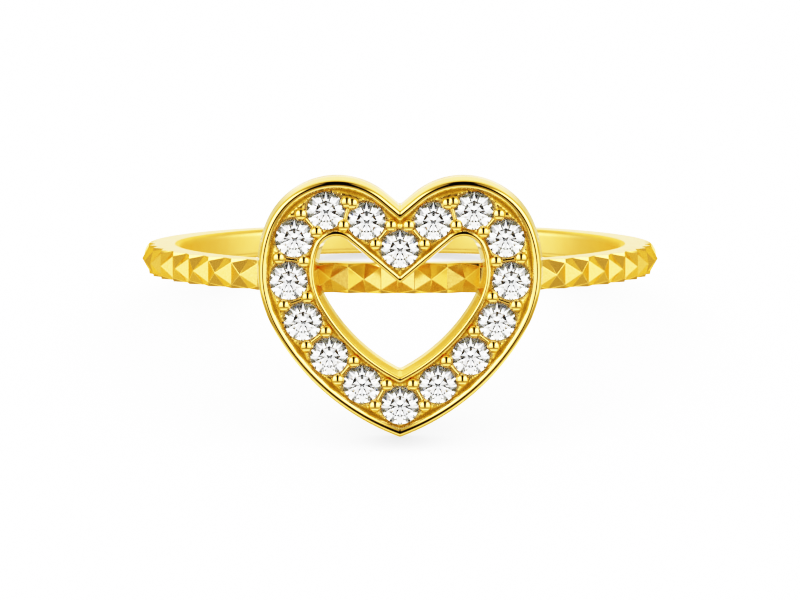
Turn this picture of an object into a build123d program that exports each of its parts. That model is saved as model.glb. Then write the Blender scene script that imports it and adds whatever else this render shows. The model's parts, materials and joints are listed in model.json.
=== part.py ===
from build123d import *
import os
from math import asin, atan2, cos, degrees, floor, hypot, radians, sin, sqrt, tan

# A ring with a pyramid-cut band and an open heart on its front, set with round stones.
# Sizes are in millimetres, angles in degrees and shares are of the size they name.
# It is drawn upright, bore along Z and heart towards -Y, and laid down to rest at the end.

# Band
bore_diameter = 17.3
band_wall = 1.55  # from the bore to the pyramids' tips
band_width = 1.13
pyramid_count = 50  # as many as would go all the way round
pyramids_cut = 25  # as many as are cut, round the front; an odd number
valley_depth = 0.25  # valleys between two pyramids, below their tips
notch_depth = 0.55  # notches in the band's edges, below the tips
lip_width = 0.14  # narrow edge that a valley stops short of
lip_fall = 0.02  # slope of that edge
back_crown = 0.27  # how far the plain back's middle stands out from its edges
back_rounding = 0.1  # of those edges
bore_rounding = 0.25

# Heart line, on which the stones' centres lie, right half from the tip up to the notch
tip_drop = 4.65  # the tip, below the middle of the band
tip_slope = 23.2
lower_flank_radius = 7.8
lower_flank_angle = 37.4
upper_flank_radius = 3.42
upper_flank_angle = 50.7
lobe_radius = 1.68
notch_slope = 40.0

# Heart frame, the bar that follows the heart line
heart_thickness = 1.9
heart_overlap = 0.9  # how far the pyramids' tips reach into the frame from its back
outer_flare = 0.1  # how much wider the outer wall stands at the back
inner_flare = 0.14  # and the wall round the opening
outer_rim = 0.33  # width of the round rim on the outside
inner_rim = 0.21  # and of the one round the opening
channel_depth = 0.23
channel_margin = 0.07  # from a stone's edge to the rim beside it

# Stones, round brilliants
stone_diameter = 1.4
stone_gap = 0.05  # least width between two stones, along the heart line
table_rise = 0.03  # a stone's table above the frame's front
table_share = 0.57  # of the diameter, and so are the three heights
crown_share = 0.16
girdle_share = 0.03
pavilion_share = 0.43
star_share = 0.5  # length of the star facets between table and girdle
half_share = 0.78  # length of the lower halves between girdle and point
main_facets = 8
seat_gap = 0.02  # between a stone and the metal all round

# Beads that hold the stones, and the bridges between them
bead_diameter = 0.5
bead_reach = 0.02  # how far a bead covers a stone's edge, seen from the front
bead_rise = 0.08  # a bead's centre above the channel's floor
bead_tuck = 0.045  # how far a bead may stand into the rim beside it
twin_index = 1  # the gap whose outer bead is a pair, counted from the notch
twin_spread = 0.2
bridge_diameter = 0.15

bore_radius = bore_diameter / 2
tip_radius = bore_radius + band_wall
heart_back = tip_radius - heart_overlap
heart_front = heart_back + heart_thickness
stone_radius = stone_diameter / 2
bead_radius = bead_diameter / 2
channel_half = stone_radius + channel_margin
outer_edge = channel_half + outer_rim
inner_edge = channel_half + inner_rim
outer_foot = outer_edge + outer_flare
inner_foot = inner_edge + inner_flare
floor_height = heart_thickness - channel_depth


# A point of the band, from its angle round the bore, counted from the heart.
def on_band(angle, radius, height):
    return Vector(radius * sin(radians(angle)), -radius * cos(radians(angle)), height)


# The corners of the pyramid with number k and of the valley that follows it.
def band_corners(k):
    step = 360 / pyramid_count
    edge = band_width / 2
    notch_radius = tip_radius - notch_depth
    valley_radius = tip_radius - valley_depth
    here = k * step
    valley = here + step / 2
    return {
        "tip": on_band(here, tip_radius, 0),
        "top notch": on_band(here, notch_radius, edge),
        "low notch": on_band(here, notch_radius, -edge),
        "top end": on_band(valley, valley_radius, edge - lip_width),
        "low end": on_band(valley, valley_radius, lip_width - edge),
        "top lip": on_band(valley, valley_radius - lip_fall, edge),
        "low lip": on_band(valley, valley_radius - lip_fall, -edge),
    }


def flat_face(points):
    return Face(Wire.make_polygon(points, close=True))


# The solid inside a closed set of flat faces.
def faceted_solid(faces):
    solid = Solid(Shell(faces))
    return solid if solid.volume > 0 else -solid


# How far round from the heart the last slopes of the pyramids reach, as a number of pyramids.
def pattern_end():
    return pyramids_cut // 2 + 1


# The band's front, a sector of a disc whose outside is cut into pyramids.
def pyramid_front():
    last = pattern_end()
    cells = [band_corners(k) for k in range(-last, last + 1)]
    middle = {"top": Vector(0, 0, band_width / 2), "low": Vector(0, 0, -band_width / 2)}
    faces = []
    for this, following in zip(cells, cells[1:]):
        top, low = this["top end"], this["low end"]
        faces.append(flat_face([this["tip"], top, low]))
        faces.append(flat_face([following["tip"], low, top]))
        for end, side in ((top, "top"), (low, "low")):
            lip = this[side + " lip"]
            for cell in (this, following):
                notch = cell[side + " notch"]
                faces.append(flat_face([cell["tip"], notch, end]))
                faces.append(flat_face([notch, lip, end]))
    for side in ("top", "low"):
        rim = [middle[side]]
        for cell in cells:
            rim += [cell[side + " notch"], cell[side + " lip"]]
        faces.append(flat_face(rim[:-1]))
    for cell in (cells[0], cells[-1]):
        notches = [cell["top notch"], cell["tip"], cell["low notch"]]
        faces.append(flat_face([middle["top"]] + notches + [middle["low"]]))
    return faceted_solid(faces)


# The band's back, the rest of the disc, with a plain crowned outside.
def plain_back():
    edge = band_width / 2
    lip = tip_radius - back_crown
    crown = ThreePointArc((lip, -edge), (tip_radius, 0), (lip, edge))
    sides = Polyline((lip, edge), (0, edge), (0, -edge), (lip, -edge))
    section = Face(Wire([crown] + sides.edges()))
    corners = section.vertices().filter_by_position(Axis.X, bore_radius, tip_radius)
    section = section.fillet_2d(back_rounding, corners)
    start = pattern_end() * 360 / pyramid_count
    placed = Rotation(0, 0, start - 90) * (Plane.XZ * section)
    return revolve(placed, Axis.Z, 360 - 2 * start)


# The band: flat sides and a smooth bore with rounded edges.
def band():
    bore = Cylinder(bore_radius, 2 * band_width)
    ring = pyramid_front() + plain_back() - bore
    round_edges = ring.edges().filter_by(GeomType.CIRCLE)
    bore_edges = round_edges.filter_by(lambda edge: abs(edge.radius - bore_radius) < 1e-6)
    return fillet(bore_edges, bore_rounding)


# The arcs of the heart line from the tip upwards, with where each one starts.
def heart_arcs():
    turns = [
        (lower_flank_radius, lower_flank_angle),
        (upper_flank_radius, upper_flank_angle),
    ]
    lobe_turn = 180 + notch_slope - tip_slope - lower_flank_angle - upper_flank_angle
    turns.append((lobe_radius, lobe_turn))
    arcs = []
    x, z, heading = 0.0, -tip_drop, tip_slope
    for radius, turn in turns:
        centre_x = x - radius * sin(radians(heading))
        centre_z = z + radius * cos(radians(heading))
        arcs.append({"centre": (centre_x, centre_z), "radius": radius, "heading": heading, "turn": turn})
        heading += turn
        x = centre_x + radius * sin(radians(heading))
        z = centre_z - radius * cos(radians(heading))
    return arcs, (x, z)


# The place and heading on the heart line at a distance from the tip.
def on_heart_line(distance):
    arcs, (x, z) = heart_arcs()
    for arc in arcs:
        length = radians(arc["turn"]) * arc["radius"]
        if distance <= length:
            heading = arc["heading"] + degrees(distance / arc["radius"])
            centre_x, centre_z = arc["centre"]
            x = centre_x + arc["radius"] * sin(radians(heading))
            z = centre_z - arc["radius"] * cos(radians(heading))
            return x, z, heading
        distance -= length
    heading = 180 + notch_slope
    return x + distance * cos(radians(heading)), z + distance * sin(radians(heading)), heading


# The length of half the heart line, and of its straight run into the notch.
def heart_lengths():
    arcs, (x, z) = heart_arcs()
    straight = x / cos(radians(notch_slope))
    return sum(radians(arc["turn"]) * arc["radius"] for arc in arcs) + straight, straight


# A plane across the frame: local x points out of the heart, local y to its front.
def across_frame(x, z, heading):
    outwards = (sin(radians(heading)), 0, -cos(radians(heading)))
    back_along = (-cos(radians(heading)), 0, -sin(radians(heading)))
    return Plane(origin=(x, -heart_back, z), x_dir=outwards, z_dir=back_along)


# The frame's section: flared walls, two round rims and the channel between them.
def frame_section():
    outer_shoulder = heart_thickness - outer_rim / 2
    inner_shoulder = heart_thickness - inner_rim / 2
    outer_round = ThreePointArc(
        (outer_edge, outer_shoulder),
        (outer_edge - outer_rim / 2, heart_thickness),
        (channel_half, outer_shoulder),
    )
    inner_round = ThreePointArc(
        (-channel_half, inner_shoulder),
        (inner_rim / 2 - inner_edge, heart_thickness),
        (-inner_edge, inner_shoulder),
    )
    edges = [
        Line((outer_foot, 0), (outer_edge, outer_shoulder)),
        outer_round,
        Line((channel_half, outer_shoulder), (channel_half, floor_height)),
        Line((channel_half, floor_height), (-channel_half, floor_height)),
        Line((-channel_half, floor_height), (-channel_half, inner_shoulder)),
        inner_round,
        Line((-inner_edge, inner_shoulder), (-inner_foot, 0)),
        Line((-inner_foot, 0), (outer_foot, 0)),
    ]
    return Face(Wire(edges))


# The right half of the heart frame: its section turned round each arc and run along the straight.
def frame_half_solid():
    section = frame_section()
    arcs, (x, z) = heart_arcs()
    spare = outer_rim
    reach = -arcs[0]["centre"][0]
    tip_overrun = tip_slope - degrees(asin(reach / (lower_flank_radius + outer_foot + spare)))
    pieces = []
    for arc in arcs:
        overrun = tip_overrun if arc is arcs[0] else 0
        heading = arc["heading"] - overrun
        centre_x, centre_z = arc["centre"]
        start_x = centre_x + arc["radius"] * sin(radians(heading))
        start_z = centre_z - arc["radius"] * cos(radians(heading))
        axis = Axis((centre_x, -heart_back, centre_z), (0, -1, 0))
        placed = across_frame(start_x, start_z, heading) * section
        pieces.append(revolve(placed, axis, arc["turn"] + overrun))
    heading = 180 + notch_slope
    run = heart_lengths()[1] + (outer_foot + spare) * tan(radians(notch_slope))
    along = (cos(radians(heading)), 0, sin(radians(heading)))
    pieces.append(extrude(across_frame(x, z, heading) * section, amount=run, dir=along))
    size = 4 * heart_front
    right_side = Location((size / 2, 0, 0)) * Box(size, size, size)
    return pieces[0].fuse(*pieces[1:]) & right_side


# How many stones half the line holds between the one at its tip and the one at its notch.
def gaps_on_half():
    return floor(heart_lengths()[0] / (stone_diameter + stone_gap))


# The centre of stone k, counted from the notch round the heart's right side.
def stone_centre(k):
    gaps = gaps_on_half()
    half_length = heart_lengths()[0]
    side = 1 if k <= gaps else -1
    steps = k if k <= gaps else 2 * gaps - k
    x, z, heading = on_heart_line(half_length * (1 - steps / gaps))
    return side * x, z


# A round brilliant, point down, with its table's centre at the origin.
def brilliant():
    girdle_top = -crown_share * stone_diameter
    girdle_low = girdle_top - girdle_share * stone_diameter
    point = girdle_low - pavilion_share * stone_diameter
    table_radius = table_share * stone_radius
    half_step = 180 / main_facets
    squeeze = cos(radians(half_step))

    def ring_point(number, radius, height):
        angle = radians(number * half_step)
        return Vector(radius * cos(angle), radius * sin(angle), height)

    table_side = table_radius * squeeze
    star_radius = table_side + star_share * (stone_radius - table_side)
    crown_fall = (stone_radius - star_radius * squeeze) / (stone_radius - table_radius)
    star_height = girdle_top * (1 - crown_fall)
    half_radius = (1 - half_share) * stone_radius
    half_height = girdle_low - pavilion_share * stone_diameter * (1 - half_radius * squeeze / stone_radius)
    culet = Vector(0, 0, point)
    faces = [flat_face([ring_point(2 * k, table_radius, 0) for k in range(main_facets)])]
    for k in range(0, 2 * main_facets, 2):
        table_here = ring_point(k, table_radius, 0)
        table_next = ring_point(k + 2, table_radius, 0)
        star_before = ring_point(k - 1, star_radius, star_height)
        star_here = ring_point(k + 1, star_radius, star_height)
        half_before = ring_point(k - 1, half_radius, half_height)
        half_here = ring_point(k + 1, half_radius, half_height)
        main_top = ring_point(k, stone_radius, girdle_top)
        main_low = ring_point(k, stone_radius, girdle_low)
        faces.append(flat_face([table_here, table_next, star_here]))
        faces.append(flat_face([table_here, star_here, main_top, star_before]))
        faces.append(flat_face([culet, half_here, main_low, half_before]))
        for j, star, half in ((k - 1, star_before, half_before), (k + 1, star_here, half_here)):
            side_top = ring_point(j, stone_radius, girdle_top)
            side_low = ring_point(j, stone_radius, girdle_low)
            faces.append(flat_face([star, main_top, side_top]))
            faces.append(flat_face([main_top, side_top, side_low, main_low]))
            faces.append(flat_face([half, main_low, side_low]))
    return faceted_solid(faces)


# The space cut out of the metal for a stone: its round outline and the gap.
def stone_seat():
    wide = stone_radius + seat_gap
    table_wide = table_share * stone_radius + seat_gap
    girdle_top = -crown_share * stone_diameter
    girdle_low = girdle_top - girdle_share * stone_diameter - seat_gap
    point = girdle_low - pavilion_share * stone_diameter * wide / stone_radius
    outline = Polyline(
        (0, point), (wide, girdle_low), (wide, girdle_top + seat_gap), (table_wide, seat_gap), (0, seat_gap),
        close=True,
    )
    return revolve(Plane.XZ * Face(Wire(outline.edges())), Axis.Z, 360)


# Stands a stone or its seat in the frame: local Z points out of the heart's front.
def stand_in_heart(shape, k):
    x, z = stone_centre(k)
    front = Plane(origin=(x, -heart_front - table_rise, z), x_dir=(1, 0, 0), z_dir=(0, -1, 0))
    return front.location * shape


# The beads and the bridge in gap k, between stones k and k + 1 of the right side.
def grip(k):
    x, z, heading = on_heart_line(heart_lengths()[0] * (1 - (k + 0.5) / gaps_on_half()))
    outwards = Vector(sin(radians(heading)), 0, -cos(radians(heading)))
    along = Vector(cos(radians(heading)), 0, sin(radians(heading)))
    (first_x, first_z), (second_x, second_z) = stone_centre(k), stone_centre(k + 1)
    floor_y = -heart_back - floor_height
    middle = Vector((first_x + second_x) / 2, floor_y, (first_z + second_z) / 2)
    bulge = (Vector(x, floor_y, z) - middle).dot(outwards)
    half_gap = hypot(first_x - second_x, first_z - second_z) / 2
    reach = stone_radius + bead_radius - bead_reach
    offset = sqrt(reach ** 2 - half_gap ** 2)
    room = channel_half + bead_tuck - bead_radius
    outer = middle + outwards * min(offset, room + bulge)
    inner = middle - outwards * min(offset, room - bulge)
    lift = Vector(0, -bead_rise, 0)
    spread = along * (twin_spread / 2 if k == twin_index else 0)
    centres = [inner, outer + spread]
    if k == twin_index:
        centres.append(outer - spread)
    beads = [Location(centre + lift, (90, 0, 0)) * Sphere(bead_radius) for centre in centres]
    rod_plane = Plane(origin=inner, z_dir=outwards)
    rod = extrude(rod_plane * Circle(bridge_diameter / 2), amount=(outer - inner).length)
    return beads + [rod]


# All the metal in one piece: band, heart frame, beads and bridges, with the seats cut out.
def ring_body():
    grips = []
    for k in range(gaps_on_half()):
        grips += grip(k)
    half = frame_half_solid().fuse(*grips)
    for k in range(gaps_on_half() + 1):
        half = half - stand_in_heart(stone_seat(), k)
    heart = half + mirror(half, about=Plane.YZ)
    return band() + heart


# The middle of the round edge on which the band's back lies, as radius and height.
def back_edge():
    edge = band_width / 2
    crown_radius = (edge ** 2 + back_crown ** 2) / (2 * back_crown)
    height = back_rounding - edge
    reach = sqrt((crown_radius - back_rounding) ** 2 - height ** 2)
    return tip_radius - crown_radius + reach, height


# The angle at which the ring lies on the heart's tip and the back of its band.
def resting_tilt():
    centre_x, centre_z = heart_arcs()[0][0]["centre"]
    foot_radius = lower_flank_radius + outer_foot
    heart_low = centre_z - sqrt(foot_radius ** 2 - centre_x ** 2)
    back, height = back_edge()
    run, rise = back + heart_back, height - heart_low
    return degrees(atan2(rise, run) - asin(back_rounding / hypot(run, rise))), heart_low


# The move that lays a shape down, with the whole ring centred over the origin.
def laid_down(body):
    tilt, heart_low = resting_tilt()
    turned = Rotation(-tilt, 0, 0) * body
    box = turned.bounding_box()
    middle = box.center()
    lift = heart_low * cos(radians(tilt)) + heart_back * sin(radians(tilt))
    return Location((-middle.X, -middle.Y, -lift)) * Rotation(-tilt, 0, 0)


def build():
    body = ring_body()
    resting = laid_down(body)
    pieces = {"ring_body": body}
    stone = brilliant()
    for k in range(2 * gaps_on_half()):
        pieces["stone_{:02d}".format(k + 1)] = stand_in_heart(stone, k)
    os.makedirs("parts", exist_ok=True)
    for name, piece in pieces.items():
        export_step(resting * piece, "parts/" + name + ".step")
    print("tilt", round(resting_tilt()[0], 3), "stones", 2 * gaps_on_half())
    print("bore centre", resting.position)


build()
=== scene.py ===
import bmesh
import bpy
import json
import math
import numpy as np
from mathutils import Matrix, Vector
from mathutils.geometry import delaunay_2d_cdt


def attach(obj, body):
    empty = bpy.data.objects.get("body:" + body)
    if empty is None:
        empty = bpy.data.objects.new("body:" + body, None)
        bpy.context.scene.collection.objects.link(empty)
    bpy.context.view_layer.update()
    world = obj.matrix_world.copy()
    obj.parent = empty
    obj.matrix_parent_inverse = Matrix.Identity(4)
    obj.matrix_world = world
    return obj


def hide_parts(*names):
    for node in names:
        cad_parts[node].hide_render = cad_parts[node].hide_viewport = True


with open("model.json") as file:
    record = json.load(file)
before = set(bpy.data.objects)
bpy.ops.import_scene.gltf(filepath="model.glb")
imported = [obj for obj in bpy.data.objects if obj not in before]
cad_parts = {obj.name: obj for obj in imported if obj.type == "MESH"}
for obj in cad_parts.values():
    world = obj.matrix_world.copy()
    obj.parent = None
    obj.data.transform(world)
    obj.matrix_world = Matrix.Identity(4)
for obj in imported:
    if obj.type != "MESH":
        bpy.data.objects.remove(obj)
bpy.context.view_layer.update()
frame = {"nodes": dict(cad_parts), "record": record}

# The ring is drawn in millimetres, bore along Z and heart towards -Y, and ringPlace lays it
# where the CAD ring lies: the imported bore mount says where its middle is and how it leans.
boreMount = frame["record"]["mounts"][0]
ringLean = math.atan2(boreMount["axis"][1], boreMount["axis"][2])
ringPlace = (
    Matrix.Translation(boreMount["pos_m"])
    @ Matrix.Rotation(-ringLean, 4, "X")
    @ Matrix.Scale(0.001, 4)
)


# sRGB's own curve, from a shown value to linear light.
def toLinear(shown):
    return shown / 12.92 if shown <= 0.04045 else ((shown + 0.055) / 1.055) ** 2.4


def linearColour(hexCode):
    return [toLinear(int(hexCode[i:i + 2], 16) / 255) for i in (1, 3, 5)] + [1.0]


# Object coordinates are in metres, so a pattern of this many millimetres has this scale.
def patternScale(millimetres):
    return 1000 / millimetres


# A node with its settings and links; the socket that is named, if one is, comes back.
def addNode(tree, kind, settings=None, links=None, output=None):
    node = tree.nodes.new(kind)
    for key, value in (settings or {}).items():
        if str(key) in node.bl_rna.properties:
            setattr(node, key, value)
        else:
            node.inputs[key].default_value = value
    for socket, source in (links or {}).items():
        tree.links.new(source, node.inputs[socket])
    return node if output is None else node.outputs[output]


# A new material, its tree, its shader with values on its own sockets, and object coordinates.
def newMaterial(name, values):
    material = bpy.data.materials.new(name)
    material.use_nodes = True
    tree = material.node_tree
    shader = tree.nodes["Principled BSDF"]
    for socket, value in values.items():
        shader.inputs[socket].default_value = value
    return material, tree, shader, addNode(tree, "ShaderNodeTexCoord").outputs["Object"]


def newObject(name, data):
    piece = bpy.data.objects.new(name, data)
    bpy.context.scene.collection.objects.link(piece)
    return piece


# The angle of a step on a rounding's quarter turn.
def quarterTurn(step, steps):
    return step / steps * math.pi / 2


def plainMesh(mesh, name):
    data = bpy.data.meshes.new(name)
    mesh.to_mesh(data)
    mesh.free()
    return data


creaseTurn = 24  # degrees between two faces from which their edge stays sharp


def shadeByAngle(mesh):
    mesh.shade_smooth()
    mesh.set_sharp_from_angle(angle=math.radians(creaseTurn))


def runModifiers(piece):
    view = bpy.context.evaluated_depsgraph_get()
    mesh = bpy.data.meshes.new_from_object(piece.evaluated_get(view), depsgraph=view)
    piece.modifiers.clear()
    piece.data = mesh


# A piece grown from a mesh by a Geometry Nodes tree. Each named input has a kind and a value,
# and build(tree, inputs) returns the last geometry socket.
def growPiece(name, mesh, build, inputs):
    tree = bpy.data.node_groups.new(name, "GeometryNodeTree")
    tree.interface.new_socket("Geometry", in_out="INPUT", socket_type="NodeSocketGeometry")
    values = {}
    for label, (kind, value) in inputs.items():
        socket = tree.interface.new_socket(label, in_out="INPUT", socket_type="NodeSocket" + kind)
        values[socket.identifier] = value
    tree.interface.new_socket("Geometry", in_out="OUTPUT", socket_type="NodeSocketGeometry")
    entry = addNode(tree, "NodeGroupInput")
    addNode(tree, "NodeGroupOutput", links={"Geometry": build(tree, entry.outputs)})
    piece = newObject(name, mesh)
    modifier = piece.modifiers.new("grow", "NODES")
    modifier.node_group = tree
    for identifier, value in values.items():
        modifier[identifier] = value
    runModifiers(piece)
    return piece


# Both kinds of repeated piece end as one real mesh in their gold.
def endInGold(tree, geometry, inputs):
    whole = addNode(tree, "GeometryNodeRealizeInstances", links={"Geometry": geometry})
    return addNode(
        tree, "GeometryNodeSetMaterial",
        links={"Geometry": whole.outputs["Geometry"], "Material": inputs["Gold"]},
    ).outputs["Geometry"]


# Hands a finished piece over: laid in place, riding on the ring's one body.
def setPiece(piece):
    piece.data.transform(ringPlace)
    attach(piece, "root")


# Yellow gold of 14 karat in five finishes, and rhodium; sizes of patterns are in millimetres.
noiseFrom, noiseTo = 0.3, 0.7  # most of a noise texture's values lie between these
goldFinishes = {
    # mirror polish: crisp reflections under a faint haze, with hair-fine buffing lines
    "polished yellow gold": {
        "light": "#FAD78C", "deep": "#F4CB78", "edgeTint": "#FFEBB8",
        "roughness": 0.07, "roughnessSpread": 0.035,
        "patchSize": 0.9, "patchDetail": 3.0,
        "bumpSize": 0.05, "bumpStretch": 14, "bumpDepth": 0.00012,
    },
    # cast facets: bright planes with a fine grain and soft swells that break up their reflections
    "cast facet gold": {
        "light": "#FAD388", "deep": "#F0C06C", "edgeTint": "#FFE3A0",
        "roughness": 0.21, "roughnessSpread": 0.04,
        "patchSize": 0.07, "patchDetail": 3.0,
        "bumpSize": 0.28, "bumpStretch": 1, "bumpDepth": 0.0022,
    },
    # buffed bore: a soft sheen, blurred round the finger's way by the mandrel's buffing
    "buffed bore gold": {
        "light": "#FAD78C", "deep": "#F0C472", "edgeTint": "#FFE3A0",
        "roughness": 0.42, "roughnessSpread": 0.05,
        "patchSize": 1.3, "patchDetail": 2.0,
        "bumpSize": 0.06, "bumpStretch": 10, "bumpDepth": 0.0001,
    },
    # satin sides of the band: rubbed flat on emery, a wide pale sheen without sharp reflections
    "satin side gold": {
        "light": "#FBDFA0", "deep": "#F7D68E", "edgeTint": "#FFFFFF",
        "roughness": 0.4, "roughnessSpread": 0.02,
        "patchSize": 0.5, "patchDetail": 3.0,
        "bumpSize": 0.05, "bumpStretch": 12, "bumpDepth": 0.0003,
    },
    # graved channel floor: left as the graver cut it, duller than the polished rims.
    # Its darker, deeper gold is painted shade, for the shade that falls in the channel's recess.
    "graved channel gold darkened as painted shade": {
        "light": "#F8D384", "deep": "#E4B962", "edgeTint": "#FFE3A0",
        "roughness": 0.26, "roughnessSpread": 0.08,
        "patchSize": 0.16, "patchDetail": 3.0,
        "bumpSize": 0.1, "bumpStretch": 3, "bumpDepth": 0.005,
    },
    # rhodium wash in the seats: a pale mirror under the stones that keeps them white
    "rhodium-washed seat": {
        "light": "#F2EDDF", "deep": "#E2DAC6", "edgeTint": "#FFFFFF",
        "roughness": 0.12, "roughnessSpread": 0.04,
        "patchSize": 0.2, "patchDetail": 2.0,
        "bumpSize": 0.08, "bumpStretch": 2, "bumpDepth": 0.0005,
    },
}


def makeGold(name):
    finish = goldFinishes[name]
    material, tree, shader, place = newMaterial(
        name, {"Metallic": 1.0, "Specular Tint": linearColour(finish["edgeTint"])},
    )
    patches = addNode(
        tree, "ShaderNodeTexNoise",
        {"Scale": patternScale(finish["patchSize"]), "Detail": finish["patchDetail"]},
        {"Vector": place}, "Fac",
    )
    tint = addNode(
        tree, "ShaderNodeMix",
        {"data_type": "RGBA", 6: linearColour(finish["light"]), 7: linearColour(finish["deep"])},
        {"Factor": patches},
    )
    rough = addNode(
        tree, "ShaderNodeMapRange",
        {
            "From Min": noiseFrom, "From Max": noiseTo,
            "To Min": finish["roughness"] - finish["roughnessSpread"],
            "To Max": finish["roughness"] + finish["roughnessSpread"],
        },
        {"Value": patches}, "Result",
    )
    stretched = addNode(
        tree, "ShaderNodeMapping", {"Scale": (1 / finish["bumpStretch"], 1.0, 1.0)},
        {"Vector": place}, "Vector",
    )
    relief = addNode(
        tree, "ShaderNodeTexNoise",
        {"Scale": patternScale(finish["bumpSize"]), "Detail": 2.0}, {"Vector": stretched}, "Fac",
    )
    bump = addNode(
        tree, "ShaderNodeBump", {"Strength": 1.0, "Distance": finish["bumpDepth"] / 1000},
        {"Height": relief}, "Normal",
    )
    tree.links.new(tint.outputs[2], shader.inputs["Base Color"])
    tree.links.new(rough, shader.inputs["Roughness"])
    tree.links.new(bump, shader.inputs["Normal"])
    return material


stoneFinish = {
    "ior": 2.17, "tint": "#FDFEFF",
    "dustSize": 0.12, "dustFrom": 0.55, "dustTo": 0.75, "dustRoughness": 0.012,
}


# Cut and polished cubic zirconia: clear and strongly bending, with the least dust on its facets.
def clearZirconia():
    material, tree, shader, place = newMaterial("cut cubic zirconia", {
        "Base Color": linearColour(stoneFinish["tint"]),
        "Transmission Weight": 1.0, "IOR": stoneFinish["ior"],
    })
    dust = addNode(
        tree, "ShaderNodeTexNoise",
        {"Scale": patternScale(stoneFinish["dustSize"]), "Detail": 2.0}, {"Vector": place}, "Fac",
    )
    rough = addNode(
        tree, "ShaderNodeMapRange",
        {
            "From Min": stoneFinish["dustFrom"], "From Max": stoneFinish["dustTo"],
            "To Min": 0.0, "To Max": stoneFinish["dustRoughness"],
        },
        {"Value": dust}, "Result",
    )
    tree.links.new(rough, shader.inputs["Roughness"])
    return material


goldMaterial = makeGold("polished yellow gold")
facetMaterial = makeGold("cast facet gold")
boreMaterial = makeGold("buffed bore gold")
sideMaterial = makeGold("satin side gold")
# the channel floor's darker gold is painted shade for its recess, on top of its duller graved
# finish
floorMaterial = makeGold("graved channel gold darkened as painted shade")
seatMaterial = makeGold("rhodium-washed seat")
stoneMaterial = clearZirconia()
print("materials made")

# The heart line, on which the stones stand, right half from the tip up to the notch.
heartLine = {
    "tipDrop": 4.65,
    "tipSlope": 23.2,
    "arcs": [(7.8, 37.4), (3.42, 50.7), (1.68, None)],  # radius and turn; the last turns the rest
    "notchSlope": 40.0,
    "back": 9.3,  # from the bore's axis to the frame's back
    "searchReach": 1.9,  # on both sides of tip or notch, for where an offset line meets the middle
    "searchHalvings": 60,
}
heartFrame = {
    "thickness": 1.9,
    "channelHalf": 0.77,
    "outerRim": {"width": 0.33, "crest": 0.56, "outDepth": 0.24, "inDepth": 0.17, "flare": 0.1},
    "innerRim": {"width": 0.21, "crest": 0.55, "outDepth": 0.15, "inDepth": 0.11, "flare": 0.14},
    "scribe": 0.028,  # width and depth of the line scribed between rim and side wall
    "backRounding": 0.05,
    "backSteps": 4,  # faces round the back's edge, and round a rim's two sides
    "rimOutSteps": 14,
    "rimInSteps": 12,
    "floorLevel": 1.67,
    "grooveDepth": 0.06,
    "softTurn": 0.09,  # rounding of the side walls at tip and notch
    "softTurnFront": 0.03,
    "stations": 260,
    "crowding": 0.9,  # how much closer the stations stand at tip and notch, up to 1
    "mergeDistance": 0.0004,
}
stoneSet = {
    "radius": 0.7,
    "gapsOnHalf": 8,
    "seatGap": 0.02,
    "seatDepth": 0.66,
}
cutFloor = {
    "spacing": 0.055,
    "rowShare": 0.866,  # a triangular grid's rows, by the spacing
    "reach": 6.0,  # half the grid's side, more than the heart's
    "joinWithin": 1e-7,
    "rimKeep": 0.5,  # grid points stand this many spacings clear of a rim, or of a hole
    "seatKeep": 0.4,
    "rimSlack": 0.004,  # faces may stand this far into a rim's chords, or a hole's
    "seatSlack": 0.0005,
    "rimSlope": 0.9,
    "seatSlope": 0.75,
    "moundTop": 0.1,
    "holeSides": 56,
}
frameMaterials = [goldMaterial, floorMaterial, seatMaterial]
floorIndex, seatIndex = 1, 2  # their places among the frame's materials
floorY = -heartLine["back"] - heartFrame["floorLevel"]
tiny = 1e-6
farAway = 99.0


def heartArcs():
    arcs = []
    x, z, heading = 0.0, -heartLine["tipDrop"], heartLine["tipSlope"]
    for radius, turn in heartLine["arcs"]:
        turn = turn or 180 + heartLine["notchSlope"] - heading
        angle = math.radians(heading)
        centre = (x - radius * math.sin(angle), z + radius * math.cos(angle))
        arcs.append({"centre": centre, "radius": radius, "heading": heading, "turn": turn})
        heading += turn
        angle = math.radians(heading)
        x = centre[0] + radius * math.sin(angle)
        z = centre[1] - radius * math.cos(angle)
    return arcs, (x, z)


heartRuns, straightStart = heartArcs()
arcLengths = [math.radians(arc["turn"]) * arc["radius"] for arc in heartRuns]
arcsLength = sum(arcLengths)
halfLength = arcsLength + straightStart[0] / math.cos(math.radians(heartLine["notchSlope"]))


# Place and heading at a distance from the tip; before the tip the first arc runs on.
def linePoint(distance):
    left = distance
    for arc, length in zip(heartRuns, arcLengths):
        if left <= length:
            heading = math.radians(arc["heading"]) + left / arc["radius"]
            x = arc["centre"][0] + arc["radius"] * math.sin(heading)
            return x, arc["centre"][1] - arc["radius"] * math.cos(heading), heading
        left -= length
    heading = math.radians(180 + heartLine["notchSlope"])
    x, z = straightStart
    return x + left * math.cos(heading), z + left * math.sin(heading), heading


def offsetPoint(distance, offset):
    x, z, heading = linePoint(distance)
    return x + offset * math.sin(heading), z - offset * math.cos(heading), heading


# Where the line at an offset crosses the heart's middle, near a distance along it.
def middleCrossing(near, offset):
    low, high = near - heartLine["searchReach"], near + heartLine["searchReach"]
    rising = offsetPoint(high, offset)[0] > offsetPoint(low, offset)[0]
    for _ in range(heartLine["searchHalvings"]):
        middle = (low + high) / 2
        if (offsetPoint(middle, offset)[0] > 0) == rising:
            high = middle
        else:
            low = middle
    return (low + high) / 2


# Stations along half the heart, closer together at the tip and the notch.
def stationShares():
    count, crowding = heartFrame["stations"], heartFrame["crowding"]
    return [
        i / count - crowding * math.sin(2 * math.pi * i / count) / (2 * math.pi)
        for i in range(count + 1)
    ]


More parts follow.
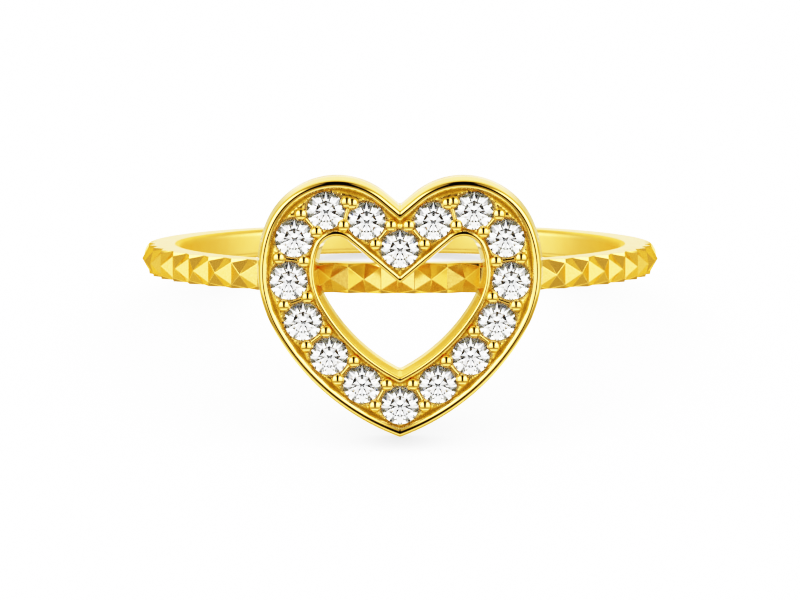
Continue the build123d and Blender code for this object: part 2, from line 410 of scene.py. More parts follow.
# One long line of the frame, at an offset from the heart line and a height from its back.
def frameLine(offset, height):
    start = middleCrossing(0, offset)
    end = middleCrossing(halfLength, offset)
    share = height / heartFrame["thickness"]
    soft = heartFrame["softTurn"] + (heartFrame["softTurnFront"] - heartFrame["softTurn"]) * share
    slopes = (math.tan(offsetPoint(start, offset)[2]), math.tan(offsetPoint(end, offset)[2]))
    points = []
    for share in stationShares():
        x, z, _ = offsetPoint(start + share * (end - start), offset)
        if share in (0, 1) or abs(x) < tiny:
            x = 0.0
        if x < soft:
            z += slopes[share > 0.5] * (soft - x) ** 2 / (2 * soft)
        points.append((x, z))
    return points


# Half of the frame's section, as offset and height: side wall, scribed line, rim, channel wall.
def rimProfile(side):
    rim = heartFrame["outerRim" if side > 0 else "innerRim"]
    half = heartFrame["channelHalf"]
    top = heartFrame["thickness"]
    scribe = heartFrame["scribe"]
    back = heartFrame["backRounding"]
    edge = half + rim["width"]
    foot = edge + rim["flare"]
    wallTop = top - rim["outDepth"] - scribe
    points = [(foot - back, 0.0)]
    backSteps = heartFrame["backSteps"]
    outSteps, inSteps = heartFrame["rimOutSteps"], heartFrame["rimInSteps"]
    for step in range(1, backSteps + 1):
        angle = quarterTurn(step, backSteps)
        points.append((foot - back + back * math.sin(angle), back - back * math.cos(angle)))
    for share in (0.5, 1.0):
        height = back + (wallTop - back) * share
        points.append((foot + (edge - foot) * share, height))
    points.append((edge - scribe, top - rim["outDepth"] - scribe / 2))
    crest = half + rim["width"] * rim["crest"]
    for step in range(outSteps + 1):
        angle = quarterTurn(step, outSteps)
        height = top - rim["outDepth"] * (1 - math.sin(angle))
        points.append((crest + (edge - crest) * math.cos(angle), height))
    for step in range(1, inSteps + 1):
        angle = quarterTurn(step, inSteps)
        height = top - rim["inDepth"] * (1 - math.cos(angle))
        points.append((crest - (crest - half) * math.sin(angle), height))
    points.append((half, heartFrame["floorLevel"] - heartFrame["grooveDepth"]))
    return [(side * offset, height) for offset, height in points]


def stoneCentre(k):
    gaps = stoneSet["gapsOnHalf"]
    side = 1 if k <= gaps else -1
    steps = k if k <= gaps else 2 * gaps - k
    x, z, _ = linePoint(halfLength * (1 - steps / gaps))
    return side * x, z


stoneCentres = [stoneCentre(k) for k in range(2 * stoneSet["gapsOnHalf"])]


# How far points lie from the heart line, as arrays; the first arc runs on before the tip.
def offsetsFromLine(x, z):
    x = np.abs(x)
    best = np.full(x.shape, farAway)
    for number, arc in enumerate(heartRuns):
        dx, dz = x - arc["centre"][0], z - arc["centre"][1]
        angle = np.degrees(np.arctan2(dx, -dz)) % 360
        first = -90 if number == 0 else arc["heading"]
        ahead = (angle - first) % 360
        inside = ahead <= arc["heading"] + arc["turn"] - first
        offset = np.hypot(dx, dz) - arc["radius"]
        best = np.where(inside & (np.abs(offset) < np.abs(best)), offset, best)
    heading = math.radians(180 + heartLine["notchSlope"])
    dx, dz = x - straightStart[0], z - straightStart[1]
    along = dx * math.cos(heading) + dz * math.sin(heading)
    offset = dx * math.sin(heading) - dz * math.cos(heading)
    return np.where((along >= 0) & (np.abs(offset) < np.abs(best)), offset, best)


# The channel's floor: cut with a graver, it drops to the rims and the seats from low mounds.
def floorHeights(x, z):
    toRim = heartFrame["channelHalf"] - np.abs(offsetsFromLine(x, z))
    hole = stoneSet["radius"] + stoneSet["seatGap"]
    toSeat = np.min([np.hypot(x - cx, z - cz) for cx, cz in stoneCentres], axis=0) - hole
    fromRim = cutFloor["rimSlope"] * toRim - heartFrame["grooveDepth"]
    rise = np.minimum(np.minimum(fromRim, cutFloor["seatSlope"] * toSeat), cutFloor["moundTop"])
    return heartFrame["floorLevel"] + rise, toRim, toSeat


# The edge of the floor's hole for each stone, as loops of points.
def holeLoops():
    hole, sides = stoneSet["radius"] + stoneSet["seatGap"], cutFloor["holeSides"]
    turns = [2 * math.pi * i / sides for i in range(sides)]
    return [
        [(cx + hole * math.cos(turn), cz + hole * math.sin(turn)) for turn in turns]
        for cx, cz in stoneCentres
    ]


# Grid points on the floor, clear of the rims and the holes.
def floorGrid():
    step, reach = cutFloor["spacing"], cutFloor["reach"]
    grid = []
    for row in range(int(2 * reach / (step * cutFloor["rowShare"]))):
        z = -reach + row * step * cutFloor["rowShare"]
        shift = step / 2 if row % 2 else 0.0
        columns = range(int(2 * reach / step))
        grid += [(-reach + shift + column * step, z) for column in columns]
    x, z = np.array(grid).T
    _, toRim, toSeat = floorHeights(x, z)
    keep = (toRim > step * cutFloor["rimKeep"]) & (toSeat > step * cutFloor["seatKeep"])
    return [(float(px), float(pz)) for px, pz in zip(x[keep], z[keep])]


# The floor's mesh between the two rims, with a round hole and a cone for each stone's seat.
def addFloor(mesh, outerLine, innerLine):
    rims = [line + [(-x, z) for x, z in line[-2:0:-1]] for line in (outerLine, innerLine)]
    points, edges, starts = [], [], []
    for loop in rims + holeLoops():
        first, count = len(points), len(loop)
        starts.append(first)
        edges += [(first + i, first + (i + 1) % count) for i in range(count)]
        points += loop
    points += floorGrid()
    found, _, faces, origins, _, _ = delaunay_2d_cdt(
        [Vector(point) for point in points], edges, [], 0, cutFloor["joinWithin"],
    )
    x, z = np.array([(point.x, point.y) for point in found]).T
    heights, _, _ = floorHeights(x, z)
    holeStarts = starts[len(rims):]
    whereIs = {}
    for number, origin in enumerate(origins):
        whereIs.update((source, number) for source in origin)
        if origin and min(origin) < holeStarts[0]:
            heights[number] = heartFrame["floorLevel"] - heartFrame["grooveDepth"]
    corners = np.array(faces)
    _, toRim, toSeat = floorHeights(x[corners].mean(axis=1), z[corners].mean(axis=1))
    keep = (toRim > -cutFloor["rimSlack"]) & (toSeat > -cutFloor["seatSlack"])
    made = [mesh.verts.new((px, -heartLine["back"] - h, pz)) for px, pz, h in zip(x, z, heights)]
    for face in corners[keep]:
        mesh.faces.new([made[i] for i in face]).material_index = floorIndex
    for (cx, cz), start in zip(stoneCentres, holeStarts):
        ring = [made[whereIs[start + i]] for i in range(cutFloor["holeSides"])]
        point = mesh.verts.new((cx, floorY + stoneSet["seatDepth"], cz))
        for i in range(cutFloor["holeSides"]):
            mesh.faces.new([ring[i - 1], ring[i], point]).material_index = seatIndex
    for vert in [vert for vert in made if not vert.link_faces]:
        mesh.verts.remove(vert)


# The frame closed round its two rims, half by half; the floor joins them between the rims.
def buildFrame():
    mesh = bmesh.new()
    profile = rimProfile(1) + rimProfile(-1)[::-1]
    half = len(profile) // 2
    lines = [frameLine(offset, height) for offset, height in profile]
    for side in (1, -1):
        grid = [
            [mesh.verts.new((side * x, -heartLine["back"] - height, z)) for x, z in line]
            for line, (_, height) in zip(lines, profile)
        ]
        pairs = [(i, i + 1) for i in range(len(profile) - 1) if i != half - 1]
        pairs.append((len(profile) - 1, 0))
        for first, second in pairs:
            for i in range(heartFrame["stations"]):
                quad = [grid[first][i], grid[first][i + 1], grid[second][i + 1], grid[second][i]]
                mesh.faces.new(quad if side > 0 else quad[::-1])
    addFloor(mesh, lines[half - 1], lines[half])
    bmesh.ops.remove_doubles(mesh, verts=mesh.verts, dist=heartFrame["mergeDistance"])
    bmesh.ops.recalc_face_normals(mesh, faces=mesh.faces)
    data = plainMesh(mesh, "heartFrame")
    shadeByAngle(data)
    for material in frameMaterials:
        data.materials.append(material)
    return newObject("heart_frame", data)


frameObject = buildFrame()
print("heart frame", len(frameObject.data.polygons), "faces")

# Beads that hold the stones, and the bars between the two beads of a gap.
beadSet = {
    "diameter": 0.5,
    "reach": 0.02,  # over a stone's edge
    "rise": 0.08,  # of a bead's centre above the floor
    "tuck": 0.045,  # into the rim beside it
    "twinIndex": 1,  # the gap whose outer bead is a pair, counted from the notch
    "twinSpread": 0.2,
    "sides": 32,
    "rings": 18,
    "barDiameter": 0.14,
    "barRise": 0.045,
    "barSides": 16,
}


# The beads of the gap after a stone, and the two ends of the bar between them.
def gripPlaces(k):
    x, z, heading = linePoint(halfLength * (1 - (k + 0.5) / stoneSet["gapsOnHalf"]))
    outwards = Vector((math.sin(heading), 0, -math.cos(heading)))
    along = Vector((math.cos(heading), 0, math.sin(heading)))
    first, second = stoneCentre(k), stoneCentre(k + 1)
    middle = Vector(((first[0] + second[0]) / 2, floorY, (first[1] + second[1]) / 2))
    bulge = (Vector((x, floorY, z)) - middle).dot(outwards)
    halfGap = math.hypot(first[0] - second[0], first[1] - second[1]) / 2
    radius = beadSet["diameter"] / 2
    reach = stoneSet["radius"] + radius - beadSet["reach"]
    offset = math.sqrt(reach ** 2 - halfGap ** 2)
    space = heartFrame["channelHalf"] + beadSet["tuck"] - radius
    outer = middle + outwards * min(offset, space + bulge)
    inner = middle - outwards * min(offset, space - bulge)
    lift = Vector((0, -beadSet["rise"], 0))
    barLift = Vector((0, -beadSet["barRise"], 0))
    spread = along * (beadSet["twinSpread"] / 2 if k == beadSet["twinIndex"] else 0)
    beads = [inner + lift, outer + spread + lift]
    if k == beadSet["twinIndex"]:
        beads.append(outer - spread + lift)
    return beads, (inner + barLift, outer + barLift)


def mirrored(point):
    return Vector((-point.x, point.y, point.z))


beadPoints, barEnds = [], []
for k in range(stoneSet["gapsOnHalf"]):
    beads, ends = gripPlaces(k)
    beadPoints += beads + [mirrored(p) for p in beads]
    barEnds += [*ends, *[mirrored(p) for p in ends]]


def beadTree(tree, inputs):
    ball = addNode(
        tree, "GeometryNodeMeshUVSphere",
        links={
            "Segments": inputs["Sides"], "Rings": inputs["Rings"], "Radius": inputs["Bead radius"],
        },
    )
    smooth = addNode(tree, "GeometryNodeSetShadeSmooth", links={"Geometry": ball.outputs["Mesh"]})
    placed = addNode(
        tree, "GeometryNodeInstanceOnPoints",
        links={"Points": inputs["Geometry"], "Instance": smooth.outputs["Geometry"]},
    )
    return endInGold(tree, placed.outputs["Instances"], inputs)


def barTree(tree, inputs):
    path = addNode(tree, "GeometryNodeMeshToCurve", links={"Mesh": inputs["Geometry"]})
    outline = addNode(
        tree, "GeometryNodeCurvePrimitiveCircle",
        links={"Resolution": inputs["Sides"], "Radius": inputs["Bar radius"]},
    )
    rod = addNode(
        tree, "GeometryNodeCurveToMesh", {"Fill Caps": True},
        {"Curve": path.outputs["Curve"], "Profile Curve": outline.outputs["Curve"]},
    )
    smooth = addNode(tree, "GeometryNodeSetShadeSmooth", links={"Geometry": rod.outputs["Mesh"]})
    return endInGold(tree, smooth.outputs["Geometry"], inputs)


beadMesh = bpy.data.meshes.new("beadPoints")
beadMesh.from_pydata(beadPoints, [], [])
beadObject = growPiece("setting_beads", beadMesh, beadTree, {
    "Bead radius": ("Float", beadSet["diameter"] / 2),
    "Sides": ("Int", beadSet["sides"]),
    "Rings": ("Int", beadSet["rings"]),
    "Gold": ("Material", goldMaterial),
})
barMesh = bpy.data.meshes.new("barLines")
barMesh.from_pydata(barEnds, [(i, i + 1) for i in range(0, len(barEnds), 2)], [])
barObject = growPiece("bead_bridges", barMesh, barTree, {
    "Bar radius": ("Float", beadSet["barDiameter"] / 2),
    "Sides": ("Int", beadSet["barSides"]),
    "Gold": ("Material", goldMaterial),
})
print("beads", len(beadPoints), "bars", len(barEnds) // 2)

# The band: pyramids round the front, and a plain crowned back.
band = {
    "boreRadius": 8.65,
    "tipRadius": 10.2,
    "width": 1.13,
    "pyramids": 50,  # as many as would go all the way round
    "pyramidsCut": 25,
    "patternTurn": -0.5,  # degrees by which the pattern is turned, as a hand-cut one is
    "valleyDepth": 0.25,
    "notchDepth": 0.55,
    "lipWidth": 0.14,
    "lipFall": 0.02,
    "backCrown": 0.27,
    "backRounding": 0.1,
    "boreRounding": 0.25,
    "boreSteps": 8,  # faces round the bore's edge, the back's edges, and half its crown
    "roundingSteps": 4,
    "crownSteps": 8,
    "cellSteps": 3,  # faces along the bore behind half a pyramid
    "backTurn": 1.8,  # degrees between two sections of the back
    "mergeDistance": 0.0005,
    "edgeWear": 0.012,
    "wearSegments": 2,
    "wearFrom": 13,  # degrees between two faces from which their edge is worn
    "flatFrom": 0.05,  # square millimetres from which a cut plane is no worn edge
}
pyramidStep = 360 / band["pyramids"]
patternEnd = (band["pyramidsCut"] // 2 + 1) * pyramidStep


def onBand(mesh, angle, radius, height):
    angle = math.radians(angle)
    return mesh.verts.new((radius * math.sin(angle), -radius * math.cos(angle), height))


# The bore's side of the section from its upper to its lower edge, as radius and height.
def boreProfile():
    edge, rounding = band["width"] / 2, band["boreRounding"]
    profile = []
    for i in range(band["boreSteps"] + 1):
        angle = quarterTurn(i, band["boreSteps"])
        radius = band["boreRadius"] + rounding * (1 - math.sin(angle))
        profile.append((radius, edge - rounding * (1 - math.cos(angle))))
    return profile + [(radius, -height) for radius, height in profile[::-1]]


# The plain back's outside in the same order, between the depths that the notches reach.
def backProfile():
    edge, rounding = band["width"] / 2, band["backRounding"]
    crown, crownSteps = band["backCrown"], band["crownSteps"]
    roundingSteps = band["roundingSteps"]
    crownRadius = (edge ** 2 + crown ** 2) / (2 * crown)
    crownCentre = band["tipRadius"] - crownRadius
    height = edge - rounding
    middle = crownCentre + math.sqrt((crownRadius - rounding) ** 2 - height ** 2)
    slope = math.atan2(height, middle - crownCentre)
    upper = [(band["tipRadius"] - band["notchDepth"], edge)]
    for i in range(roundingSteps + 1):
        angle = math.pi / 2 + (slope - math.pi / 2) * i / roundingSteps
        upper.append((middle + rounding * math.cos(angle), height + rounding * math.sin(angle)))
    for i in range(1, crownSteps):
        angle = slope * (1 - i / crownSteps)
        upper.append((crownCentre + crownRadius * math.cos(angle), crownRadius * math.sin(angle)))
    return upper + [(band["tipRadius"], 0.0)] + [(radius, -z) for radius, z in upper[::-1]]


# One pyramid round an angle; halves are -1 for its half before the tip and 1 for the other.
def addPyramid(mesh, around, halves):
    cut = mesh.faces.layers.bool["cutFacet"]
    bored = mesh.faces.layers.bool["boreFace"]
    step, edge, tipRadius = pyramidStep / 2, band["width"] / 2, band["tipRadius"]
    tip = onBand(mesh, around, tipRadius, 0)
    notchRadius = tipRadius - band["notchDepth"]
    notches = {level: onBand(mesh, around, notchRadius, level * edge) for level in (1, -1)}
    valley = tipRadius - band["valleyDepth"]
    lipHeight = edge - band["lipWidth"]
    cells = band["cellSteps"]
    for half in halves:
        side = around + half * step
        ends, lips = {}, {}
        for level in (1, -1):
            ends[level] = onBand(mesh, side, valley, level * lipHeight)
            lips[level] = onBand(mesh, side, valley - band["lipFall"], level * edge)
        facets = [[tip, ends[1], ends[-1]]]
        for level in (1, -1):
            facets.append([tip, notches[level], ends[level]])
            facets.append([notches[level], lips[level], ends[level]])
        for corners in facets:
            mesh.faces.new(corners)[cut] = True
        rows = [
            [onBand(mesh, around + half * step * (i / cells), r, z) for i in range(cells + 1)]
            for r, z in boreProfile()
        ]
        for upper, lower in zip(rows, rows[1:]):
            for i in range(cells):
                mesh.faces.new([upper[i], upper[i + 1], lower[i + 1], lower[i]])[bored] = True
        for level, row in ((1, rows[0]), (-1, rows[-1])):
            mesh.faces.new([notches[level], lips[level]] + row[::-1])


def newBandMesh():
    mesh = bmesh.new()
    mesh.faces.layers.bool.new("cutFacet")
    mesh.faces.layers.bool.new("boreFace")
    return mesh


# The plain back with the last slope of the pattern at each of its ends.
def bandBack():
    mesh = newBandMesh()
    bored = mesh.faces.layers.bool["boreFace"]
    addPyramid(mesh, patternEnd, (-1,))
    addPyramid(mesh, -patternEnd, (1,))
    outside, bore = backProfile(), boreProfile()
    loop = outside + bore[::-1]
    count = round((360 - 2 * patternEnd) / band["backTurn"])
    rows = []
    for i in range(count + 1):
        angle = patternEnd + (360 - 2 * patternEnd) * i / count
        rows.append([onBand(mesh, angle, radius, height) for radius, height in loop])
    for this, following in zip(rows, rows[1:]):
        for i in range(len(loop)):
            j = (i + 1) % len(loop)
            face = mesh.faces.new([this[i], this[j], following[j], following[i]])
            face[bored] = len(outside) <= i < len(loop) - 1
    for row in (rows[0], rows[-1]):
        middle = len(outside) // 2
        mesh.faces.new(row[:middle + 1])
        mesh.faces.new(row[middle:len(outside)])
    return plainMesh(mesh, "bandBack")


def bandCell():
    mesh = newBandMesh()
    addPyramid(mesh, 0, (-1, 1))
    return newObject("bandCell", plainMesh(mesh, "bandCell"))


# Turns copies of one pyramid cell round the bore's axis and joins them to the back.
def bandTree(tree, inputs):
    cell = addNode(tree, "GeometryNodeObjectInfo", links={"Object": inputs["Cell"]})
    points = addNode(tree, "GeometryNodePoints", links={"Count": inputs["Pyramids cut"]})
    number = addNode(tree, "GeometryNodeInputIndex")
    angle = addNode(
        tree, "ShaderNodeMath", {"operation": "MULTIPLY_ADD"},
        {0: number.outputs["Index"], 1: inputs["Step"], 2: inputs["First turn"]},
    )
    turn = addNode(tree, "ShaderNodeCombineXYZ", links={"Z": angle.outputs["Value"]})
    placed = addNode(
        tree, "GeometryNodeInstanceOnPoints",
        links={
            "Points": points.outputs["Points"], "Instance": cell.outputs["Geometry"],
            "Rotation": turn.outputs["Vector"],
        },
    )
    joined = addNode(tree, "GeometryNodeJoinGeometry")
    tree.links.new(inputs["Geometry"], joined.inputs["Geometry"])
    tree.links.new(placed.outputs["Instances"], joined.inputs["Geometry"])
    whole = addNode(
        tree, "GeometryNodeRealizeInstances", links={"Geometry": joined.outputs["Geometry"]},
    )
    last = addNode(
        tree, "GeometryNodeMergeByDistance",
        links={"Geometry": whole.outputs["Geometry"], "Distance": inputs["Merge distance"]},
    )
    golds = (("Side gold", None), ("Facet gold", "cutFacet"), ("Bore gold", "boreFace"))
    for label, attribute in golds:
        links = {"Geometry": last.outputs["Geometry"], "Material": inputs[label]}
        if attribute:
            chosen = addNode(
                tree, "GeometryNodeInputNamedAttribute",
                {"data_type": "BOOLEAN", "Name": attribute},
            )
            links["Selection"] = chosen.outputs["Attribute"]
        last = addNode(tree, "GeometryNodeSetMaterial", links=links)
    return last.outputs["Geometry"]


cellObject = bandCell()
bandObject = growPiece("pyramid_band", bandBack(), bandTree, {
    "Cell": ("Object", cellObject),
    "Pyramids cut": ("Int", band["pyramidsCut"]),
    "Step": ("Float", math.radians(pyramidStep)),
    "First turn": ("Float", math.radians(pyramidStep - patternEnd)),
    "Merge distance": ("Float", band["mergeDistance"]),
    "Side gold": ("Material", sideMaterial),
    "Facet gold": ("Material", facetMaterial),
    "Bore gold": ("Material", boreMaterial),
})
bpy.data.objects.remove(cellObject)
bandObject.data.transform(Matrix.Rotation(math.radians(band["patternTurn"]), 4, "Z"))
bandData = bmesh.new()
bandData.from_mesh(bandObject.data)
bmesh.ops.recalc_face_normals(bandData, faces=bandData.faces)
bandData.to_mesh(bandObject.data)
bandData.free()
bevel = bandObject.modifiers.new("edge wear", "BEVEL")
bevel.width = band["edgeWear"]
bevel.segments = band["wearSegments"]
bevel.limit_method = "ANGLE"
bevel.angle_limit = math.radians(band["wearFrom"])
runModifiers(bandObject)
shadeByAngle(bandObject.data)
facetIndex = bandObject.data.materials.find(facetMaterial.name)
for face in bandObject.data.polygons:
    if face.material_index == facetIndex and face.area > band["flatFrom"]:
        face.use_smooth = False  # a cut plane stays flat, and only the worn edges are round
print("band", len(bandObject.data.polygons), "faces")

# The finished pieces stand for the CAD ring, and the CAD stones stay.
for piece in (frameObject, beadObject, barObject, bandObject):
    setPiece(piece)
    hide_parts("ring_body")
for name, stone in frame["nodes"].items():
    if name.startswith("stone"):
        stone.data.materials.clear()
        stone.data.materials.append(stoneMaterial)

# Floor, light and camera; angles in degrees. The camera stands at the photo's angle, a little
# above the ring's own plane, in metres from the ring's middle.
studio = {
    "floorSize": 1.6,
    "floorColour": "#E8E8E8",
    "floorRoughness": 0.9,
    "fibreSize": 0.3,
    "fibreStrength": 0.2,
    "fibreDepth": 0.00001,
    "floorGlow": 0.4,  # the paper is lit from below too, so that shadows stay faint
    "floorLight": 0.8,
    "wallLight": 1.3,  # what the camera sees past the paper
    # what the stones see: a level at each angle from an axis a little below the camera
    "stoneRings": [
        (0, 0.75), (24, 0.75), (26, 0.02), (46, 0.02), (49, 0.2), (62, 0.2), (65, 0.02),
    ],
    "stoneAxisFall": 16,
    "cameraDistance": 0.1817,
    "cameraRise": 4.74,
    "lens": 206.5,
    "aimBelow": 0.001704,
}
# What the gold reflects, as a polished ball shows it to the camera: places run from -1 to 1
# across the ball, and a panel's edge is as soft as this share of its half size. Panels are
# painted in this order, and a pair stands on both sides.
room = {
    "wall": 0.28,
    "backdrop": 0.5,
    "backdropTop": 0.8,  # the backdrop grows brighter upwards
    "backdropTopFrom": 0.55,
    "backdropTopFull": 0.85,
    "backdropFrom": 0.62,  # how squarely a surface faces the camera where it starts to show
    "backdropFull": 0.38,
    "panels": {
        "softboxes": {
            "sides": (-1, 1), "middle": (0.45, 0.23), "half": (0.26, 0.3), "soft": 0.18,
            "level": 1.6, "round": True,
        },
        "sheets under them": {
            "sides": (-1, 1), "middle": (0.43, -0.07), "half": (0.33, 0.12), "soft": 0.25,
            "level": 0.95,
        },
        "bright table behind its edge": {
            "middle": (0, -0.54), "half": (1, 0.11), "soft": 0.35, "level": 0.9,
        },
        "table edge": {"middle": (0, -0.4), "half": (1, 0.025), "soft": 0.7, "level": 0.2},
        "dark slot behind the camera": {
            "middle": (0, 0.27), "half": (0.115, 0.44), "soft": 0.2, "level": 0.005,
        },
        "slot's top bar": {"middle": (0, 0.7), "half": (0.19, 0.06), "soft": 0.4, "level": 0},
        "slot's bottom bar": {
            "middle": (0, -0.15), "half": (0.17, 0.045), "soft": 0.4, "level": 0.005,
        },
    },
    # each further gold face on a ray's way is made up for by cooler light: corners stay yellow
    "lift": (0.92, 1.27, 2.6),
    "liftMost": 3.0,
    "deepShare": 0.6,  # how far such rays see the even light of a tent instead of the panels
    "tent": 0.55,
    "dimTint": "#FFFACF",  # the dim parts of the room are warmer than the panels
    "dimFrom": 0.4,
    "dimTo": 0.95,
}
softbox = {
    "turn": 50, "rise": 40, "width": 0.5, "height": 0.36, "distance": 0.5, "radiance": 0.9,
}

ringMiddle = Vector(boreMount["pos_m"])
viewRise = ringLean + math.radians(studio["cameraRise"])
viewBack = Vector((0, -math.cos(viewRise), math.sin(viewRise)))
viewUp = Vector((0, math.sin(viewRise), math.cos(viewRise)))


# White paper, matt and faintly fibrous, so that the ring's shadow falls softly on it.
def makeFloor():
    material, tree, shader, place = newMaterial("white paper", {
        "Base Color": linearColour(studio["floorColour"]),
        "Roughness": studio["floorRoughness"], "Specular IOR Level": 0.0,
        "Emission Color": linearColour("#FFFFFF"), "Emission Strength": studio["floorGlow"],
    })
    fibres = addNode(
        tree, "ShaderNodeTexNoise",
        {"Scale": patternScale(studio["fibreSize"]), "Detail": 4.0}, {"Vector": place}, "Fac",
    )
    bump = addNode(
        tree, "ShaderNodeBump",
        {"Strength": studio["fibreStrength"], "Distance": studio["fibreDepth"]}, {"Height": fibres},
        "Normal",
    )
    tree.links.new(bump, shader.inputs["Normal"])
    size = studio["floorSize"]
    corners = [(-size, -size, 0), (size, -size, 0), (size, size, 0), (-size, size, 0)]
    mesh = bpy.data.meshes.new("floor")
    mesh.from_pydata(corners, [], [(0, 1, 2, 3)])
    mesh.materials.append(material)
    floor = newObject("floor", mesh)
    floor.visible_glossy = False  # the gold reflects the room's table instead


# One panel of the room painted over what is there, at a ball's place.
def paintPanel(tree, place, below, panel, side):
    middle = (side * panel["middle"][0], panel["middle"][1], 0)
    away = addNode(
        tree, "ShaderNodeVectorMath", {"operation": "SUBTRACT", 1: middle}, {0: place}, "Vector",
    )
    shares = addNode(
        tree, "ShaderNodeVectorMath", {"operation": "DIVIDE", 1: (*panel["half"], 1)}, {0: away},
        "Vector",
    )
    if panel.get("round"):
        reach = addNode(tree, "ShaderNodeVectorMath", {"operation": "LENGTH"}, {0: shares}, "Value")
    else:
        size = addNode(
            tree, "ShaderNodeVectorMath", {"operation": "ABSOLUTE"}, {0: shares}, "Vector",
        )
        parts = addNode(tree, "ShaderNodeSeparateXYZ", links={"Vector": size}).outputs
        reach = addNode(
            tree, "ShaderNodeMath", {"operation": "MAXIMUM"}, {0: parts["X"], 1: parts["Y"]},
            "Value",
        )
    inside = addNode(
        tree, "ShaderNodeMapRange",
        {
            "interpolation_type": "SMOOTHSTEP",
            "From Min": 1 - panel["soft"], "From Max": 1 + panel["soft"],
            "To Min": 1.0, "To Max": 0.0,
        },
        {"Value": reach}, "Result",
    )
    return addNode(
        tree, "ShaderNodeMix", {"data_type": "FLOAT", 3: panel["level"]}, {0: inside, 2: below}, 0,
    )


# The level of light that gold sees one way. A mirror that sends the camera's look that way
# faces halfway between the two, and its place on the ball follows from that.
def metalLevel(tree, way):
    halfway = addNode(
        tree, "ShaderNodeVectorMath", {"operation": "ADD", 1: viewBack}, {0: way}, "Vector",
    )
    facing = addNode(
        tree, "ShaderNodeVectorMath", {"operation": "NORMALIZE"}, {0: halfway}, "Vector",
    )
    across, up, square = [
        addNode(
            tree, "ShaderNodeVectorMath", {"operation": "DOT_PRODUCT", 1: axis}, {0: facing},
            "Value",
        )
        for axis in (Vector((1, 0, 0)), viewUp, viewBack)
    ]
    place = addNode(tree, "ShaderNodeCombineXYZ", links={"X": across, "Y": up}).outputs["Vector"]
    backdrop = addNode(
        tree, "ShaderNodeMapRange",
        {
            "interpolation_type": "SMOOTHSTEP",
            "From Min": room["backdropTopFrom"],
            "From Max": room["backdropTopFull"],
            "To Min": room["backdrop"], "To Max": room["backdropTop"],
        },
        {"Value": up}, "Result",
    )
    level = addNode(
        tree, "ShaderNodeMapRange",
        {
            "interpolation_type": "SMOOTHSTEP",
            "From Min": room["backdropFull"], "From Max": room["backdropFrom"],
            "To Max": room["wall"],
        },
        {"Value": square, "To Min": backdrop}, "Result",
    )
    for panel in room["panels"].values():
        for side in panel.get("sides", (1,)):
            level = paintPanel(tree, place, level, panel, side)
    return level


# The light that stones see one way: rings round an axis, which give their facets contrast.
def stoneLight(tree, way):
    fall = math.radians(studio["stoneAxisFall"])
    axis = viewBack * math.cos(fall) - viewUp * math.sin(fall)
    towards = addNode(
        tree, "ShaderNodeVectorMath", {"operation": "DOT_PRODUCT", 1: axis}, {0: way}, "Value",
    )
    turned = addNode(tree, "ShaderNodeMath", {"operation": "ARCCOSINE"}, {0: towards}, "Value")
    share = addNode(
        tree, "ShaderNodeMath", {"operation": "DIVIDE", 1: math.pi}, {0: turned}, "Value",
    )
    rings = addNode(tree, "ShaderNodeValToRGB", links={"Fac": share})
    marks = rings.color_ramp.elements
    while len(marks) < len(studio["stoneRings"]):
        marks.new(1.0)
    for mark, (angle, light) in zip(marks, studio["stoneRings"]):
        mark.position = angle / 180
        mark.color = (light, light, light, 1)
    return rings.outputs["Color"]


# The number of gold faces that a ray has met before the last one; inside a stone it is 0.
def furtherFaces(tree, ray, outside):
    further = addNode(
        tree, "ShaderNodeMath", {"operation": "SUBTRACT", 1: 1.0}, {0: ray["Glossy Depth"]},
        "Value",
    )
    most = addNode(
        tree, "ShaderNodeMath", {"operation": "MULTIPLY", 1: room["liftMost"]},
        {0: outside}, "Value",
    )
    return addNode(
        tree, "ShaderNodeClamp", links={"Value": further, "Max": most},
    ).outputs["Result"]


# The colour of the light: lifted for each further face, and warm where the room is dim.
def lightColour(tree, ray, outside, faces, level):
    channels = [
        addNode(tree, "ShaderNodeMath", {"operation": "POWER", 0: lift}, {1: faces}, "Value")
        for lift in room["lift"]
    ]
    lifted = addNode(
        tree, "ShaderNodeCombineColor", links=dict(zip(("Red", "Green", "Blue"), channels)),
    ).outputs["Color"]
    bright = addNode(
        tree, "ShaderNodeMapRange",
        {
            "interpolation_type": "SMOOTHSTEP",
            "From Min": room["dimFrom"], "From Max": room["dimTo"],
        },
        {"Value": level}, "Result",
    )
    onMetal = addNode(
        tree, "ShaderNodeMath", {"operation": "MULTIPLY"}, {0: ray["Is Glossy Ray"], 1: outside},
        "Value",
    )
    elsewhere = addNode(
        tree, "ShaderNodeMath", {"operation": "SUBTRACT", 0: 1.0}, {1: onMetal}, "Value",
    )
    white = addNode(
        tree, "ShaderNodeMath", {"operation": "MAXIMUM"}, {0: bright, 1: elsewhere}, "Value",
    )
    tint = addNode(
        tree, "ShaderNodeMix",
        {
            "data_type": "RGBA",
            6: linearColour(room["dimTint"]), 7: linearColour("#FFFFFF"),
        },
        {0: white}, 2,
    )
    return addNode(
        tree, "ShaderNodeMix", {"data_type": "RGBA", "blend_type": "MULTIPLY", 0: 1.0},
        {6: lifted, 7: tint}, 2,
    )


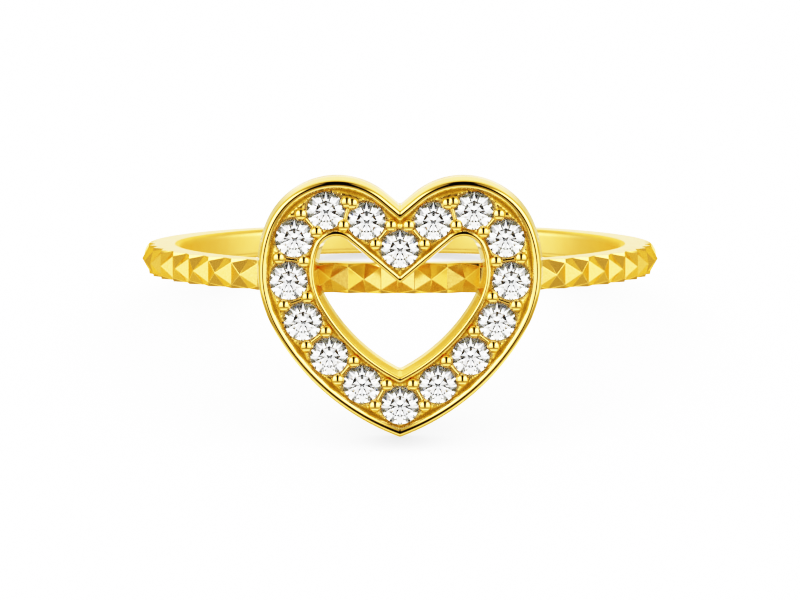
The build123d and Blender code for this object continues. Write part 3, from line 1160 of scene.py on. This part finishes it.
# The room gives the gold its surroundings, the stones a bright front, and the paper even light.
def makeRoom():
    world = bpy.data.worlds.new("studio")
    bpy.context.scene.world = world
    world.use_nodes = True
    world.cycles.sampling_method = "NONE"
    tree = world.node_tree
    tree.nodes.clear()
    way = addNode(tree, "ShaderNodeTexCoord").outputs["Generated"]
    ray = addNode(tree, "ShaderNodeLightPath").outputs
    outside = addNode(
        tree, "ShaderNodeMath", {"operation": "LESS_THAN", 1: 0.5}, {0: ray["Transmission Depth"]},
        "Value",
    )
    panels = metalLevel(tree, way)
    corners = addNode(
        tree, "ShaderNodeMix",
        {"data_type": "FLOAT", 0: room["deepShare"], 3: room["tent"]},
        {2: panels}, 0,
    )
    faces = furtherFaces(tree, ray, outside)
    isDeep = addNode(
        tree, "ShaderNodeMath", {"operation": "GREATER_THAN", 1: 0.5}, {0: faces}, "Value",
    )
    level = addNode(
        tree, "ShaderNodeMix", {"data_type": "FLOAT"}, {0: isDeep, 2: panels, 3: corners}, 0,
    )
    colour = lightColour(tree, ray, outside, faces, level)
    level = addNode(
        tree, "ShaderNodeMix", {"data_type": "FLOAT"},
        {0: ray["Is Transmission Ray"], 2: level, 3: stoneLight(tree, way)}, 0,
    )
    for kind, light in (("Diffuse", studio["floorLight"]), ("Camera", studio["wallLight"])):
        level = addNode(
            tree, "ShaderNodeMix", {"data_type": "FLOAT", 3: light},
            {0: ray["Is " + kind + " Ray"], 2: level}, 0,
        )
    glow = addNode(tree, "ShaderNodeBackground", links={"Color": colour, "Strength": level})
    addNode(tree, "ShaderNodeOutputWorld", links={"Surface": glow.outputs["Background"]})


def aimAt(thing, target):
    thing.rotation_euler = (target - thing.location).to_track_quat("-Z", "Y").to_euler()


# A softbox on each side of the camera that lights the paper. The gold and the stones see the
# painted room instead.
def addSoftbox(name, side):
    light = bpy.data.lights.new(name, "AREA")
    light.shape = "ELLIPSE"
    light.size = softbox["width"]
    light.size_y = softbox["height"]
    light.energy = softbox["radiance"] * math.pi * light.size * light.size_y * math.pi / 4
    lamp = newObject(name, light)
    turn, rise = math.radians(side * softbox["turn"]), math.radians(softbox["rise"])
    across = Vector((math.sin(turn) * math.cos(rise), 0, 0))
    way = across + viewBack * math.cos(turn) * math.cos(rise) + viewUp * math.sin(rise)
    lamp.location = ringMiddle + way * softbox["distance"]
    lamp.visible_glossy = False
    lamp.visible_transmission = False
    aimAt(lamp, ringMiddle)


def makeCamera():
    camera = newObject("camera", bpy.data.cameras.new("camera"))
    bpy.context.scene.camera = camera
    camera.data.lens = studio["lens"]
    camera.data.clip_start = 0.01
    camera.data.clip_end = 10
    camera.location = ringMiddle + viewBack * studio["cameraDistance"]
    aimAt(camera, ringMiddle - viewUp * studio["aimBelow"])


# A film's tone curve: brightness builds up fast and rolls off softly into white.
filmCurve = {
    "speed": 5.0,
    "whiteAt": 2.0,
    "shares": [0.01, 0.025, 0.05, 0.1, 0.15, 0.225, 0.325, 0.5, 0.75],
}


def setFilmCurve(view):
    view.use_curve_mapping = True
    mapping = view.curve_mapping
    mapping.white_level = [filmCurve["whiteAt"]] * 3
    for share in filmCurve["shares"]:
        shown = 1 - math.exp(-filmCurve["speed"] * filmCurve["whiteAt"] * share)
        mapping.curves[3].points.new(share, toLinear(shown))
    mapping.update()


makeFloor()
makeRoom()
addSoftbox("left softbox", -1)
addSoftbox("right softbox", 1)
makeCamera()
scene = bpy.context.scene
scene.view_settings.view_transform = "Standard"
setFilmCurve(scene.view_settings)
scene.cycles.caustics_reflective = False
scene.cycles.max_bounces = 24
scene.cycles.glossy_bounces = 16
scene.cycles.transmission_bounces = 24

print("scene ready")
